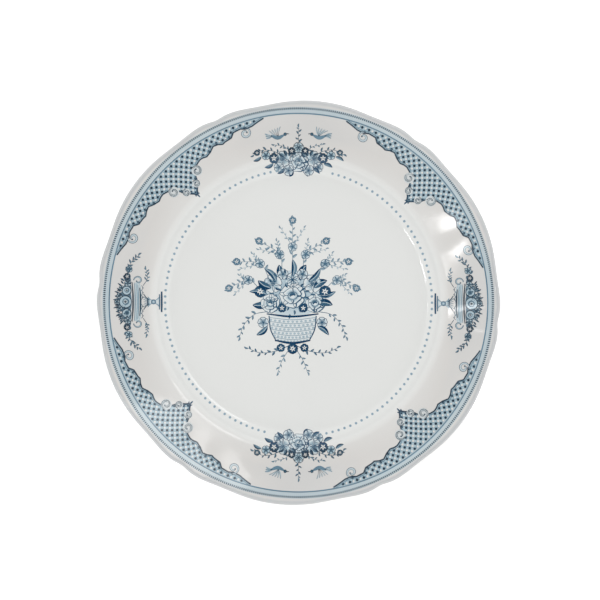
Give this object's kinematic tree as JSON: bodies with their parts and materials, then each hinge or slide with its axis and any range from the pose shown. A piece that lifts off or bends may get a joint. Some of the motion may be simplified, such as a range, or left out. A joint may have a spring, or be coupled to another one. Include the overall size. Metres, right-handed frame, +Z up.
{
  "type": "dinner plate",
  "caption": "Round white china dinner plate with a softly lobed lip, a recessed well on a foot ring, and a blue printed border and flower bouquet.",
  "frame": {"origin": "centre of the foot ring, on the plane the plate stands on", "axes": "+Z up through the well and the plate's axis; +Y towards the bird and nest spray at the top of the pattern when the bouquet is upright, +X towards the right-hand urn spray"},
  "size_m": [0.2712, 0.272, 0.0237],
  "materials": {
    "biscuit": "unglazed fired earthenware, fine matt, seen only on the foot ring's resting band",
    "glaze": "clear glossy glaze over a white body, very slightly cool",
    "blue_print": "blue transfer-printed colour in three tones, glossy like the glaze"
  },
  "bodies": {
    "root": {"plate_body": "biscuit", "glaze_coat": "glaze", "rim_bead_print": "blue_print", "rim_line_print": "blue_print", "lattice_print_ne": "blue_print", "lattice_print_nw": "blue_print", "lattice_print_sw": "blue_print", "lattice_print_se": "blue_print", "bird_spray_print_top": "blue_print", "bird_spray_print_bottom": "blue_print", "urn_spray_print_left": "blue_print", "urn_spray_print_right": "blue_print", "well_bead_print": "blue_print", "bouquet_print": "blue_print"}
  },
  "joints": []
}
